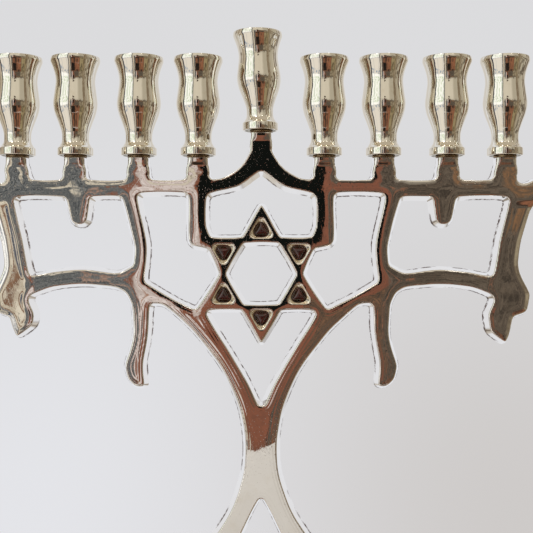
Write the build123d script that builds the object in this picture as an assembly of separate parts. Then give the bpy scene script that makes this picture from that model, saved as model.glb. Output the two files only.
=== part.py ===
from build123d import *
import os
from math import atan2, cos, hypot, radians, sin, sqrt, tan

# A nine-light menorah: one openwork casting that carries eight candle cups on a top bar and a
# raised ninth cup (the shamash) in the middle, and stands on an oval base by two splayed legs.
# Millimetres. +X is to the viewer's right, +Y points away from the viewer (the front faces -Y),
# +Z is up. The origin is the centre of the underside of the felt pad, on the table.

# ---- frame casting -----------------------------------------------------------------------
THICKNESS = 6.6            # front face to back face
DRAFT = 1.7                # the flat back is this much larger all round than the front face
FRONT_Y = -THICKNESS / 2
BACK_Y = THICKNESS / 2

BAR_TOP = 198.0            # top edge of the top bar
NECK_TOP = 208.7           # where the eight outer cups are seated
SHAMASH_NECK_TOP = 219.4   # where the raised middle cup is seated
NECK_RADIUS = 4.6          # round top of every neck
NECK_ROUND_FROM = 203.0    # height where the flat casting turns into the round neck
CUP_PLACES = (27.0, 52.4, 79.6, 104.4)   # distance of the outer cups from the middle
ROOF_RADIUS = 17.7         # hollow quarter circle from the middle neck down to the top bar
ROOF_CENTRE = (21.0, 216.2)
LEFT_PAW_LIFT = 2.6        # the left paw is this much shorter than the right one

# ---- six-pointed star --------------------------------------------------------------------
STAR_CENTRE = 159.0        # height of the star's centre
STAR_RADIUS = 29.6         # centre to the end of a point
HEXAGON_RADIUS = 15.2      # centre to a corner of the hexagonal hole
POCKET_TIP = 24.9          # star's centre to the outer corner of a stone pocket
POCKET_BASE = 15.6         # star's centre to the inner side of a stone pocket
POCKET_DEPTH = 2.4
POCKET_ROUND = 1.1         # rounded corners of a pocket at the front face
POCKET_SLOPE = 0.9         # how far a pocket's sides close in from the front face to the floor
STONE_GAP = 0.12           # between a stone and the pocket's sides at the floor
STONE_HEIGHT = 1.9
STONE_BEVEL = 0.7          # a stone's domed shoulder

# ---- cups --------------------------------------------------------------------------------
WASHER_THICKNESS = 0.8
WASHER_RADIUS = 4.9
CUP_HEIGHT = 41.9
FLANGE_RADIUS = 7.65
FLANGE_HEIGHT = 3.2
CANDLE_BORE_RADIUS = 5.3
CANDLE_BORE_DEPTH = 24.0
MOUTH_RADIUS = 9.3         # the bore opens out to this at the rim
MOUTH_DEPTH = 4.0
# the turned outside, as (height above the cup's seat, radius), from the flange up to the rim
CUP_SIDE = (
    (3.9, 6.9), (5.9, 5.85), (8.9, 5.75), (13.9, 7.2), (17.9, 8.7), (22.2, 9.45),
    (26.9, 8.95), (31.7, 8.4), (36.9, 9.3), (40.7, 10.55),
)
RIM_RADIUS = 10.1

# ---- threaded stud that holds each cup (M4) -----------------------------------------------
STUD_RADIUS = 2.0
STUD_HOLE_RADIUS = 2.05    # running clearance in the washer and the cup
STUD_SUNK = 8.0            # length fixed in the neck
STUD_PROUD = 6.9           # length that stands above the neck
STUD_CHAMFER = 0.4
CUP_STUD_DEPTH = 7.0       # blind hole in the underside of the cup

# ---- base and its fasteners ---------------------------------------------------------------
FELT_THICKNESS = 1.2
FELT_PROUD = 0.8           # the felt stands out of its recess by this much
FELT_INSET = 2.5
BASE_TOP = 12.0
BASE_STEP = 7.0            # height of the lower, wider step
BASE_LENGTH = 118.0
BASE_WIDTH = 64.0
STEP_INSET = 6.0
BASE_ROUND = 2.0
FOOT_INNER = 32.6          # inner and outer edge of each foot where it meets the base
FOOT_OUTER = 45.6
SCREW_PLACE = 38.4         # distance of the two base screws from the middle
SCREW_RADIUS = 2.0
SCREW_CLEARANCE = 2.25
SCREW_REACH = 6.0          # how far a screw runs up into the foot
SCREW_HEAD_RADIUS = 3.5
SCREW_HEAD_HEIGHT = 2.2
BASE_WASHER_RADIUS = 4.4
BASE_WASHER_THICKNESS = 0.8
COUNTERBORE_RADIUS = 4.9
COUNTERBORE_TOP = 5.2      # the washers bear here
SLOT_WIDTH = 0.9
SLOT_DEPTH = 0.9


# ---- outlines: corners are (x, z, radius) on the front face --------------------------------

def both_sides(right, left=None):
    """A whole outline from its right half and, where it differs, its left half mirrored."""
    mirrored = [(-x, z, r) for x, z, r in reversed(left or right) if x > 0]
    return list(right) + mirrored


def swapped(corners):
    """The same outline on the left-hand side."""
    return [(-x, z, r) for x, z, r in reversed(corners)]


def neck(place, inner_foot, outer_foot):
    """The flanks of one neck on the bar, left to right; its round top is added later."""
    half_width = NECK_RADIUS - DRAFT
    return [
        (place - inner_foot, BAR_TOP, 3.0),
        (place - half_width, NECK_ROUND_FROM + 1.0, 0.6),
        (place + half_width, NECK_ROUND_FROM + 1.0, 0.6),
        (place + outer_foot, BAR_TOP, 3.0),
    ]


def roof():
    """Half of the middle neck and the hollow sweep down to the bar, as three equal corners."""
    centre_x, centre_z = ROOF_CENTRE
    reach = ROOF_RADIUS / cos(radians(15))
    sweep = [
        (centre_x - reach * cos(radians(a)), centre_z - reach * sin(radians(a)), ROOF_RADIUS)
        for a in (15, 45, 75)
    ]
    return [(NECK_RADIUS - DRAFT, SHAMASH_NECK_TOP - 4.0, 0.6)] + sweep


def outline_half(paw_lift):
    """Half the silhouette: necks, horn, outer arm, hanging leg, arm, waist and foot.

    paw_lift shortens the curled paw under the outer arm.
    """
    necks = [corner for place in CUP_PLACES[:3] for corner in neck(place, 4.6, 4.6)]
    last = CUP_PLACES[3]
    last_neck = neck(last, 5.6, 4.4)[:3] + [(last + 3.6, 196.3, 4.0)]
    horn = [(113.6, 196.6, 8.0), (118.0, 198.6, 1.6), (119.2, 192.6, 3.0), (114.4, 186.2, 5.0)]
    outer_arm = [(110.4, 173.0, 30.0), (108.8, 161.5, 14.0), (114.2, 150.4, 3.0)]
    paw = [
        (112.9, 143.2, 2.5), (107.0, 140.9, 2.6), (105.4, 133.2 + paw_lift, 12.0),
        (103.9, 130.0 + paw_lift, 1.6), (97.6, 134.4 + paw_lift, 4.0), (96.6, 141.6, 6.0),
        (100.0, 149.3, 3.0),
    ]
    crossbar_underside = [(90.5, 153.4, 30.0), (76.0, 155.1, 60.0), (61.0, 153.4, 14.0)]
    hanging_leg = [
        (57.2, 151.1, 6.0), (54.8, 146.0, 8.0), (53.9, 131.5, 30.0), (57.9, 119.8, 6.0),
        (56.5, 114.2, 5.0), (53.0, 111.0, 4.0), (49.9, 111.4, 2.4), (50.6, 121.0, 24.0),
        (48.2, 133.0, 40.0), (47.6, 146.7, 2.2),
    ]
    arm_underside = [
        (41.6, 146.3, 6.0), (29.4, 135.9, 60.0), (16.2, 119.2, 60.0), (8.7, 102.6, 50.0),
    ]
    waist = [(6.2, 87.0, 60.0), (7.0, 74.0, 40.0)]
    leg = [(11.9, 58.6, 60.0), (24.2, 40.4, 80.0), (FOOT_OUTER, BASE_TOP, 0.4)]
    leg_inside = [(FOOT_INNER, BASE_TOP, 0.4), (13.6, 39.0, 80.0), (0, 65.6, 1.8)]
    return (
        roof() + necks + last_neck + horn + outer_arm + paw + crossbar_underside
        + hanging_leg + arm_underside + waist + leg + leg_inside
    )


def outer_outline():
    """The whole silhouette; the left paw has been filed shorter than the right one."""
    return both_sides(outline_half(0), outline_half(LEFT_PAW_LIFT))


def star_window():
    """Between the roof, the two side bars and the upper half of the star."""
    flank = tan(radians(30))
    bar = STAR_CENTRE + STAR_RADIUS / 2 + 0.7
    half = [
        (0, 203.2, 2.6), (9.4, 196.3, 12.0), (23.4, 192.9, 3.4), (23.5, 179.4, 4.0),
        (21.6, bar, 0.6), ((STAR_CENTRE + STAR_RADIUS - bar) * flank, bar, 0.4),
        (0, STAR_CENTRE + STAR_RADIUS, 0.6),
    ]
    return both_sides(half)


def second_window():
    """Right of the star: side bar, top bar, inner upright, V arm and the star's side notch."""
    notch = STAR_RADIUS / sqrt(3)
    return [
        (30.8, 193.6, 2.4), (53.4, 193.6, 2.4), (48.4, 170.8, 30.0), (50.0, 155.4, 2.6),
        (27.9, 143.3, 1.4), (notch + 0.6, STAR_CENTRE, 0.5), (22.3, 169.6, 2.2),
        (30.8, 171.6, 3.4),
    ]


def side_window():
    """Between the inner upright, the top bar with its drip, the outer arm and the cross bar."""
    return [
        (59.2, 192.0, 2.4), (72.9, 192.0, 1.8), (74.6, 180.2, 2.8), (80.4, 180.2, 3.4),
        (83.0, 192.0, 2.6), (106.2, 192.0, 2.4), (101.8, 174.0, 30.0), (98.7, 157.7, 2.2),
        (88.0, 159.7, 30.0), (76.0, 160.9, 60.0), (60.6, 158.9, 8.0), (54.2, 162.6, 2.6),
        (53.4, 170.4, 20.0),
    ]


def v_window():
    """Between the two V arms, under the lower half of the star."""
    flank = tan(radians(30))
    bar = STAR_CENTRE - STAR_RADIUS / 2 - 0.5
    half = [
        (0, STAR_CENTRE - STAR_RADIUS, 0.3),
        ((bar - STAR_CENTRE + STAR_RADIUS) * flank, bar, 0.4), (24.8, bar, 0.5),
        (14.8, 127.6, 60.0), (5.8, 112.4, 60.0), (0, 100.0, 1.2),
    ]
    return both_sides(half)


def hexagon_hole():
    """The hole in the middle of the star."""
    angles = [radians(60 * i) for i in range(6)]
    return [
        (HEXAGON_RADIUS * cos(a), STAR_CENTRE + HEXAGON_RADIUS * sin(a), 1.2) for a in angles
    ]


# ---- solids from outlines ------------------------------------------------------------------

def unit(ax, az, bx, bz):
    """Unit vector from point a to point b, and the distance between them."""
    length = hypot(bx - ax, bz - az)
    return (bx - ax) / length, (bz - az) / length, length


def turn_side(corners):
    """1 if the outline runs anticlockwise in x and z, else -1."""
    after = corners[1:] + corners[:1]
    area = sum(x * z2 - x2 * z for (x, z, r), (x2, z2, r2) in zip(corners, after))
    return 1 if area > 0 else -1


def grown(corners, amount):
    """The outline with every side moved out by amount, keeping its rounds concentric."""
    side = turn_side(corners)
    result = []
    for i, (x, z, radius) in enumerate(corners):
        ax, az, _ = corners[i - 1]
        bx, bz, _ = corners[(i + 1) % len(corners)]
        in_x, in_z, _ = unit(ax, az, x, z)
        out_x, out_z, _ = unit(x, z, bx, bz)
        turn = in_x * out_z - in_z * out_x
        bend = 1 + in_x * out_x + in_z * out_z
        shift = side * amount / bend
        bulge = amount if turn * side > 0 else -amount
        result.append((
            x + (in_z + out_z) * shift,
            z - (in_x + out_x) * shift,
            max(radius + bulge, 0.2),
        ))
    return result


def outline_wire(corners, y):
    """A closed wire of straight sides and tangent arcs at depth y."""
    stretches = []
    for i, (x, z, radius) in enumerate(corners):
        ax, az, _ = corners[i - 1]
        bx, bz, _ = corners[(i + 1) % len(corners)]
        to_a = unit(x, z, ax, az)
        to_b = unit(x, z, bx, bz)
        half_angle = atan2(
            abs(to_a[0] * to_b[1] - to_a[1] * to_b[0]),
            to_a[0] * to_b[0] + to_a[1] * to_b[1],
        ) / 2
        reach = min(radius / tan(half_angle), 0.48 * to_a[2], 0.48 * to_b[2])
        bisector = unit(0, 0, to_a[0] + to_b[0], to_a[1] + to_b[1])
        to_middle = reach / cos(half_angle) - reach * tan(half_angle)
        stretches.append((
            (x + to_a[0] * reach, y, z + to_a[1] * reach),
            (x + bisector[0] * to_middle, y, z + bisector[1] * to_middle),
            (x + to_b[0] * reach, y, z + to_b[1] * reach),
        ))
    edges = []
    for i, (start, middle, end) in enumerate(stretches):
        edges.append(Edge.make_three_point_arc(start, middle, end))
        edges.append(Edge.make_line(end, stretches[(i + 1) % len(stretches)][0]))
    return Wire(edges)


def drafted(corners, front_grow, back_grow, front_y=FRONT_Y, back_y=BACK_Y):
    """A solid from the front outline to the back outline, each grown by its own amount."""
    front = outline_wire(grown(corners, front_grow), front_y)
    back = outline_wire(grown(corners, back_grow), back_y)
    return Solid.make_loft([front, back], ruled=True)


def window_cutter(corners):
    """A window that is smaller at the back, run a little past both faces."""
    over = 1.0
    slope = DRAFT / THICKNESS * over
    return drafted(corners, slope, -DRAFT - slope, FRONT_Y - over, BACK_Y + over)


def upright_cylinder(x, bottom, top, radius):
    return Pos(x, 0, bottom) * Cylinder(
        radius, top - bottom, align=(Align.CENTER, Align.CENTER, Align.MIN)
    )


def pocket_corners(direction, inset):
    """The triangle of one stone pocket; direction is the star point's angle in degrees."""
    tip = POCKET_TIP - 2 * inset
    base = POCKET_BASE + inset
    half_base = (tip - base) * tan(radians(30))
    angle = radians(direction)
    along = (cos(angle), sin(angle))
    across = (-sin(angle), cos(angle))
    return [
        (
            along[0] * reach + across[0] * offset,
            STAR_CENTRE + along[1] * reach + across[1] * offset,
            POCKET_ROUND - inset / 2,
        )
        for reach, offset in ((tip, 0), (base, half_base), (base, -half_base))
    ]


def cup_places():
    """Every seat as (name suffix, x, height of the neck's top), from left to right."""
    places = [-x for x in reversed(CUP_PLACES)] + list(CUP_PLACES)
    outer = [(str(i + 1), x, NECK_TOP) for i, x in enumerate(places)]
    return outer + [("shamash", 0, SHAMASH_NECK_TOP)]


# ---- pieces --------------------------------------------------------------------------------

STAR_POINTS = {
    "top": 90, "upper_left": 150, "lower_left": 210,
    "bottom": 270, "lower_right": 330, "upper_right": 30,
}


def frame():
    body = drafted(outer_outline(), 0, DRAFT)
    below_feet = (Align.CENTER, Align.CENTER, Align.MAX)
    body -= Pos(0, 0, BASE_TOP) * Box(BASE_LENGTH, BASE_WIDTH, BASE_TOP, align=below_feet)
    windows = [star_window(), v_window(), hexagon_hole()]
    for right in (second_window(), side_window()):
        windows += [right, swapped(right)]
    for corners in windows:
        body -= window_cutter(corners)
    for _, x, top in cup_places():
        from_height = NECK_ROUND_FROM + top - NECK_TOP
        body += upright_cylinder(x, from_height, top, NECK_RADIUS)
        body -= upright_cylinder(x, top - STUD_SUNK, top + 1, STUD_RADIUS)
    for direction in STAR_POINTS.values():
        front = outline_wire(pocket_corners(direction, 0), FRONT_Y)
        floor = outline_wire(pocket_corners(direction, POCKET_SLOPE), FRONT_Y + POCKET_DEPTH)
        body -= Solid.make_loft([front, floor], ruled=True)
    for x in (-SCREW_PLACE, SCREW_PLACE):
        body -= upright_cylinder(x, BASE_TOP - 1, BASE_TOP + SCREW_REACH, SCREW_RADIUS)
    return body


def star_stone(direction):
    floor = FRONT_Y + POCKET_DEPTH
    inset = POCKET_SLOPE + STONE_GAP
    shoulder = outline_wire(pocket_corners(direction, inset), floor - STONE_HEIGHT + STONE_BEVEL)
    seat = outline_wire(pocket_corners(direction, inset), floor)
    top = outline_wire(pocket_corners(direction, inset + STONE_BEVEL), floor - STONE_HEIGHT)
    return Solid.make_loft([seat, shoulder], ruled=True) + Solid.make_loft(
        [shoulder, top], ruled=True
    )


def candle_cup(x, neck_top):
    """A cup turned from bar: flange, slim stem, pear-shaped belly, flared lip and candle bore."""
    seat = neck_top + WASHER_THICKNESS
    side = Spline([(r, h) for h, r in CUP_SIDE])
    first_height, first_radius = CUP_SIDE[0]
    last_height, last_radius = CUP_SIDE[-1]
    mouth_floor = CUP_HEIGHT - MOUTH_DEPTH
    bore_floor = CUP_HEIGHT - CANDLE_BORE_DEPTH
    lower = Polyline(
        (first_radius, first_height), (FLANGE_RADIUS, FLANGE_HEIGHT), (FLANGE_RADIUS, 0),
        (STUD_HOLE_RADIUS, 0), (STUD_HOLE_RADIUS, CUP_STUD_DEPTH), (0, CUP_STUD_DEPTH + 1),
        (0, bore_floor), (CANDLE_BORE_RADIUS, bore_floor), (CANDLE_BORE_RADIUS, mouth_floor),
        (MOUTH_RADIUS, CUP_HEIGHT), (RIM_RADIUS, CUP_HEIGHT), (last_radius, last_height),
    )
    profile = Plane.XZ * make_face(side + lower)
    return Pos(x, 0, seat) * revolve(profile, Axis.Z)


def cup_washer(x, neck_top):
    disc = upright_cylinder(x, neck_top, neck_top + WASHER_THICKNESS, WASHER_RADIUS)
    return disc - upright_cylinder(x, neck_top - 1, neck_top + 2, STUD_HOLE_RADIUS)


def cup_studs():
    studs = []
    for _, x, top in cup_places():
        stud = upright_cylinder(x, top - STUD_SUNK, top + STUD_PROUD, STUD_RADIUS)
        ends = stud.edges().filter_by(GeomType.CIRCLE)
        studs.append(chamfer(ends, STUD_CHAMFER))
    return Compound(studs)


def oval(inset, bottom, top):
    """An upright oval slab that follows the base's plan, inset all round."""
    plan = Ellipse(BASE_LENGTH / 2 - inset, BASE_WIDTH / 2 - inset)
    return Pos(0, 0, bottom) * extrude(plan, top - bottom)


def base():
    lower = oval(0, FELT_PROUD, BASE_STEP)
    upper = oval(STEP_INSET, BASE_STEP, BASE_TOP)
    body = fillet(lower.edges().group_by(Axis.Z)[-1], BASE_ROUND)
    body += fillet(upper.edges().group_by(Axis.Z)[-1], BASE_ROUND)
    body -= oval(FELT_INSET, 0, FELT_THICKNESS)
    for x in (-SCREW_PLACE, SCREW_PLACE):
        body -= upright_cylinder(x, 0, COUNTERBORE_TOP, COUNTERBORE_RADIUS)
        body -= upright_cylinder(x, 0, BASE_TOP + 1, SCREW_CLEARANCE)
    return body


def base_screws():
    """Two pan-head screws, driven up through the base into the feet."""
    screws = []
    head_top = COUNTERBORE_TOP - BASE_WASHER_THICKNESS
    head_bottom = head_top - SCREW_HEAD_HEIGHT
    for x in (-SCREW_PLACE, SCREW_PLACE):
        head = upright_cylinder(x, head_bottom, head_top, SCREW_HEAD_RADIUS)
        head = fillet(head.edges().group_by(Axis.Z)[0], 0.8)
        slot = Pos(x, 0, head_bottom) * Box(SCREW_HEAD_RADIUS * 3, SLOT_WIDTH, SLOT_DEPTH * 2)
        shank = upright_cylinder(x, head_top, BASE_TOP + SCREW_REACH - 0.5, SCREW_RADIUS)
        screws.append(head - slot + shank)
    return Compound(screws)


def base_washers():
    washers = []
    bottom = COUNTERBORE_TOP - BASE_WASHER_THICKNESS
    for x in (-SCREW_PLACE, SCREW_PLACE):
        disc = upright_cylinder(x, bottom, COUNTERBORE_TOP, BASE_WASHER_RADIUS)
        washers.append(disc - upright_cylinder(x, 0, BASE_TOP, SCREW_CLEARANCE))
    return Compound(washers)


def felt_pad():
    return oval(FELT_INSET, 0, FELT_THICKNESS)


def all_pieces():
    pieces = {
        "frame": frame(),
        "base": base(),
        "base_screws": base_screws(),
        "base_washers": base_washers(),
        "felt_pad": felt_pad(),
        "cup_studs": cup_studs(),
    }
    for name, direction in STAR_POINTS.items():
        pieces[f"star_stone_{name}"] = star_stone(direction)
    for name, x, neck_top in cup_places():
        cup_name = "shamash_cup" if name == "shamash" else f"candle_cup_{name}"
        washer_name = "shamash_washer" if name == "shamash" else f"cup_washer_{name}"
        pieces[cup_name] = candle_cup(x, neck_top)
        pieces[washer_name] = cup_washer(x, neck_top)
    return pieces


os.makedirs("parts", exist_ok=True)
for node, shape in all_pieces().items():
    export_step(shape, f"parts/{node}.step")
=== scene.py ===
import math

import bpy
import numpy as np
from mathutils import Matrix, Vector
from mathutils.geometry import tessellate_polygon


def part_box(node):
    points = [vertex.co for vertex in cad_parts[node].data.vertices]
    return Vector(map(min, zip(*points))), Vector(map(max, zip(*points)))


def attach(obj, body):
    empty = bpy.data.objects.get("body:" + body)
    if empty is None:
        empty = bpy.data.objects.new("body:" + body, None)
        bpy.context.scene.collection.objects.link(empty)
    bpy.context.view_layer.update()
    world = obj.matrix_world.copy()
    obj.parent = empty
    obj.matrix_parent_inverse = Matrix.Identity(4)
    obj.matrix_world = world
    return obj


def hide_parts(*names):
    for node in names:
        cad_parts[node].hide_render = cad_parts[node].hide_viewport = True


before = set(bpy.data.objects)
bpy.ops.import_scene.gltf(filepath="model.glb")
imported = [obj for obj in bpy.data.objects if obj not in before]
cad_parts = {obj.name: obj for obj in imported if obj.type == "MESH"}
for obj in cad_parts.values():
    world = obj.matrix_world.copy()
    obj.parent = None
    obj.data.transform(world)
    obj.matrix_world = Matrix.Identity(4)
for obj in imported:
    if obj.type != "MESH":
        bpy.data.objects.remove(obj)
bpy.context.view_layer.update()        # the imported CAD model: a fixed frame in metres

MM = 0.001
NAMES = [str(i) for i in range(1, 9)] + ["shamash"]
STONES = ["top", "upper_left", "lower_left", "bottom", "lower_right", "upper_right"]


def cup_node(name):
    return "shamash_cup" if name == "shamash" else f"candle_cup_{name}"


def washer_node(name):
    return "shamash_washer" if name == "shamash" else f"cup_washer_{name}"


def box_mm(node):
    """A CAD node's lowest and highest corners in millimetres."""
    low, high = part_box(node)
    return np.array(low) / MM, np.array(high) / MM


# ---- mesh helpers ------------------------------------------------------------------------

def new_piece(name, points, faces, node, body, material, normals=None):
    """A mesh piece from points in millimetres that rides on a body and replaces a CAD node."""
    mesh = bpy.data.meshes.new(name)
    mesh.from_pydata((np.asarray(points, float) * MM).tolist(), [], [list(f) for f in faces])
    mesh.polygons.foreach_set("use_smooth", [True] * len(mesh.polygons))
    mesh.validate()
    if normals is not None:
        mesh.normals_split_custom_set_from_vertices(np.asarray(normals, float).tolist())
    mesh.update()
    piece = bpy.data.objects.new(name, mesh)
    bpy.context.scene.collection.objects.link(piece)
    mesh.materials.append(material)
    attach(piece, body)
    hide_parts(node)
    return piece


def store_values(piece, name, values):
    """Keeps one number for each of the piece's points, for its material to read."""
    attribute = piece.data.attributes.new(name, "FLOAT", "POINT")
    attribute.data.foreach_set("value", values.astype(np.float32))


def circle_angles(count):
    """Evenly spaced angles for a full turn."""
    return 2 * math.pi * np.arange(count) / count


def stood_on(points, low, high):
    """Points of a shape turned about Z, moved to the middle of a node's box and up to its bottom."""
    middle = (low + high) / 2
    return points + (middle[0], middle[1], low[2])


def grid_faces(rows, columns, flip=False):
    """Quads between the closed rows of a lathe-like grid of points."""
    faces = []
    for row in range(rows - 1):
        for column in range(columns):
            after = (column + 1) % columns
            a = row * columns + column
            b = row * columns + after
            c = (row + 1) * columns + after
            d = (row + 1) * columns + column
            faces.append((d, c, b, a) if flip else (a, b, c, d))
    return faces


def rounded_path(corners, arc_steps=6):
    """(a, b) points along straight sides with each corner (a, b, radius) rounded by an arc."""
    path = []
    for i, (a, b, radius) in enumerate(corners):
        if radius == 0 or i in (0, len(corners) - 1):
            path.append((a, b))
            continue
        here = np.array((a, b))
        to_last = np.array(corners[i - 1][:2]) - here
        to_next = np.array(corners[i + 1][:2]) - here
        reach = min(radius, 0.45 * np.linalg.norm(to_last), 0.45 * np.linalg.norm(to_next))
        start = here + to_last / np.linalg.norm(to_last) * reach
        end = here + to_next / np.linalg.norm(to_next) * reach
        for t in np.linspace(0, 1, arc_steps + 1):
            path.append(tuple((1 - t) ** 2 * start + 2 * t * (1 - t) * here + t ** 2 * end))
    return path


def smooth_curve(knots, steps):
    """A Catmull-Rom curve through the knots, with steps points for each stretch."""
    knots = np.array(knots, float)
    ends = [2 * knots[0] - knots[1], *knots, 2 * knots[-1] - knots[-2]]
    points = []
    for p0, p1, p2, p3 in zip(ends, ends[1:], ends[2:], ends[3:]):
        for t in np.arange(steps) / steps:
            points.append(
                p1 + 0.5 * t * (p2 - p0 + t * (2 * p0 - 5 * p1 + 4 * p2 - p3
                                               + t * (3 * (p1 - p2) + p3 - p0)))
            )
    points.append(knots[-1])
    return [tuple(p) for p in points]


def lathe(profile, segments):
    """Points and faces of a surface turned about Z from (radius, height) points, top to axis."""
    profile = np.array(profile, float)
    angles = circle_angles(segments)
    points = np.stack([
        profile[:, None, 0] * np.cos(angles),
        profile[:, None, 0] * np.sin(angles),
        np.repeat(profile[:, None, 1], segments, 1),
    ], axis=-1).reshape(-1, 3)
    faces = grid_faces(len(profile), segments)
    return points, faces


# ---- the casting: a smooth implicit shape around the CAD frame's own outline ----------------

GRID = 0.45     # spacing of the casting's mesh, mm
FINE = 0.2                             # spacing of its flat distance map, mm
REACH = 5.0                            # the map holds distances up to this, mm
MARGIN = 3.0                           # free space round the map, mm
LOOP_SPACING = 0.4                     # between the points of a smoothed outline, mm
SHARP_TURN = math.radians(24)          # a corner that turns more than this stays sharp
GRADIENT_STEP = 0.12                   # mm, for the surface's slope
SHOULDER = 0.34                        # rounding between the side walls and the front face
BACK_ROUND = 0.3                       # rounding between the side walls and the flat back
PILLOW = 0.13                          # the arms' front faces sink this much to their edges
PILLOW_WIDTH = 2.2
FACE_SINK = 0.04                       # the whole front face lies this much inside the CAD's
FLAT_PILLOW = 0.05                     # the same for the flat star and roof
FLAT_PILLOW_WIDTH = 0.9
STAR_REACH = (29.0, 37.0)              # the flat face round the star's middle ends here
ROOF_FROM = (187.0, 191.0)             # above this, between the inner necks, lies the flat roof
ROOF_WIDTH = (19.0, 27.0)
EDGE_WAVE = 0.10                       # how far hand finishing has pulled the outline about
FACE_WAVE = 0.062                      # the same for the front face of the bars and arms
FLAT_WAVE = 0.016                      # and for the star and the roof
ROLL = 0.050                           # long ridges along the outer arms and paws
ROLL_SPACING = 4.6
ROLL_FROM = (96.0, 102.0)              # distance from the middle where the ridges begin
LEAN = 0.055                           # the outer arms' faces fall away outwards this steeply
LINE = 0.016                           # fine filing lines along the arms
LINE_SPACING = 1.25
LINES_BELOW = (150.0, 140.0)           # height below which they begin
NECK_MORPH = (4.4, 0.7)                # below its top, a neck turns from flat to round here
NECK_POWER = 4.5                       # the necks' section: a square with rounded corners
NECK_DEPTH = 3.65                      # half a neck's depth, front to back, at its top
NECK_FILLET = 1.6
NECK_LENGTH = 9.0                      # drawn this far down from its top
NECK_NOTCH = (0.9, 6.2)                # mark it leaves in the back: share of its radius, height
NECK_NEAR = 1.9                        # a neck is shaped within this many radii of its axis
CUT_ROUND = 0.3                        # edges at the necks' tops, the feet and the pockets' floors
NECK_UPRIGHT = (10.5, 6.0)             # the draft fades out between these, below a neck's top
NECK_DRAFT = 0.12                      # share of the draft that is left there
TOP_DRAFT = 0.42                       # and on the upper edge of the bar and the roof
TOP_LINE = ((0, 6, 12, 24, 130), (210.5, 204.8, 199.8, 195.8, 195.4))   # that edge's lower limit
NECK_ROUND = 0.9                       # the necks' front corners are rounder than the others
POCKET_DEPTH = 1.9
POCKET_SLOPE = 0.84
POCKET_ROUND = 0.28
POCKET_CORNER = 1.2
POCKET_STEEPNESS = 0.85                # brings the slanted sides' measure nearer a true distance
STUD_HOLE = 2.05
STUD_SUNK = 8.0                        # length of a stud inside its neck


def triangles(node):
    """A CAD node's vertices in millimetres and its triangles' vertex numbers."""
    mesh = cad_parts[node].data
    points = np.zeros(len(mesh.vertices) * 3)
    mesh.vertices.foreach_get("co", points)
    mesh.calc_loop_triangles()
    corners = np.zeros(len(mesh.loop_triangles) * 3, int)
    mesh.loop_triangles.foreach_get("vertices", corners)
    return points.reshape(-1, 3) / MM, corners.reshape(-1, 3)


def flat_faces(points, corners, facing):
    """The triangles of the largest plane that faces +Y (1) or -Y (-1), and that plane's y."""
    a, b, c = (points[corners[:, i]] for i in range(3))
    normal = np.cross(b - a, c - a)
    flat = normal[:, 1] * facing > 0.999 * np.linalg.norm(normal, axis=1) + 1e-9
    levels = np.round(points[corners[:, 0], 1], 2)
    values, where = np.unique(levels[flat], return_inverse=True)
    area = np.bincount(where, np.linalg.norm(normal[flat], axis=1))
    level = values[np.argmax(area)]
    return corners[flat & (levels == level)], level


def boundary_loops(points, corners):
    """The closed outlines, as (x, z) points, round a patch of flat triangles."""
    flat, number = np.unique(np.round(points[:, [0, 2]], 3), axis=0, return_inverse=True)
    number = number.reshape(-1)
    edges = set()
    for triangle in number[corners]:
        for i in range(3):
            edges.add((triangle[i], triangle[(i + 1) % 3]))
    follow = {a: b for a, b in edges if (b, a) not in edges}
    loops = []
    while follow:
        first, current = follow.popitem()
        loop = [first]
        while current != first:
            loop.append(current)
            current = follow.pop(current)
        loops.append(flat[loop])
    return loops


def without_notches(loop, necks):
    """The outer outline without the marks that the round necks leave in the flat back."""
    keep = np.ones(len(loop), bool)
    for x, top, radius in necks:
        near = np.abs(loop[:, 0] - x) < radius * NECK_NOTCH[0]
        keep &= ~(near & (loop[:, 1] > top - NECK_NOTCH[1]))
    return loop[keep]


def even_loop(loop):
    """The outline as evenly spaced points on a smooth curve, with its sharp corners kept."""
    before = loop - np.roll(loop, 1, 0)
    after = np.roll(loop, -1, 0) - loop
    before_length = np.linalg.norm(before, axis=1, keepdims=True)
    after_length = np.linalg.norm(after, axis=1, keepdims=True)
    turn = np.arccos(np.clip((before * after).sum(1, keepdims=True)
                             / (before_length * after_length), -1, 1))
    tangent = before / before_length * after_length + after / after_length * before_length
    tangent /= np.linalg.norm(tangent, axis=1, keepdims=True)
    sharp = turn > SHARP_TURN
    leaving = np.where(sharp, after / after_length, tangent)
    arriving = np.roll(np.where(sharp, before / before_length, tangent), -1, 0)
    result = []
    for i, start in enumerate(loop):
        end = loop[(i + 1) % len(loop)]
        length = after_length[i, 0]
        steps = max(1, round(length / LOOP_SPACING))
        t = (np.arange(steps) / steps)[:, None]
        result.append(
            (2 * t ** 3 - 3 * t ** 2 + 1) * start + (t ** 3 - 2 * t ** 2 + t) * length * leaving[i]
            + (3 * t ** 2 - 2 * t ** 3) * end + (t ** 3 - t ** 2) * length * arriving[i]
        )
    return np.concatenate(result)


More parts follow.
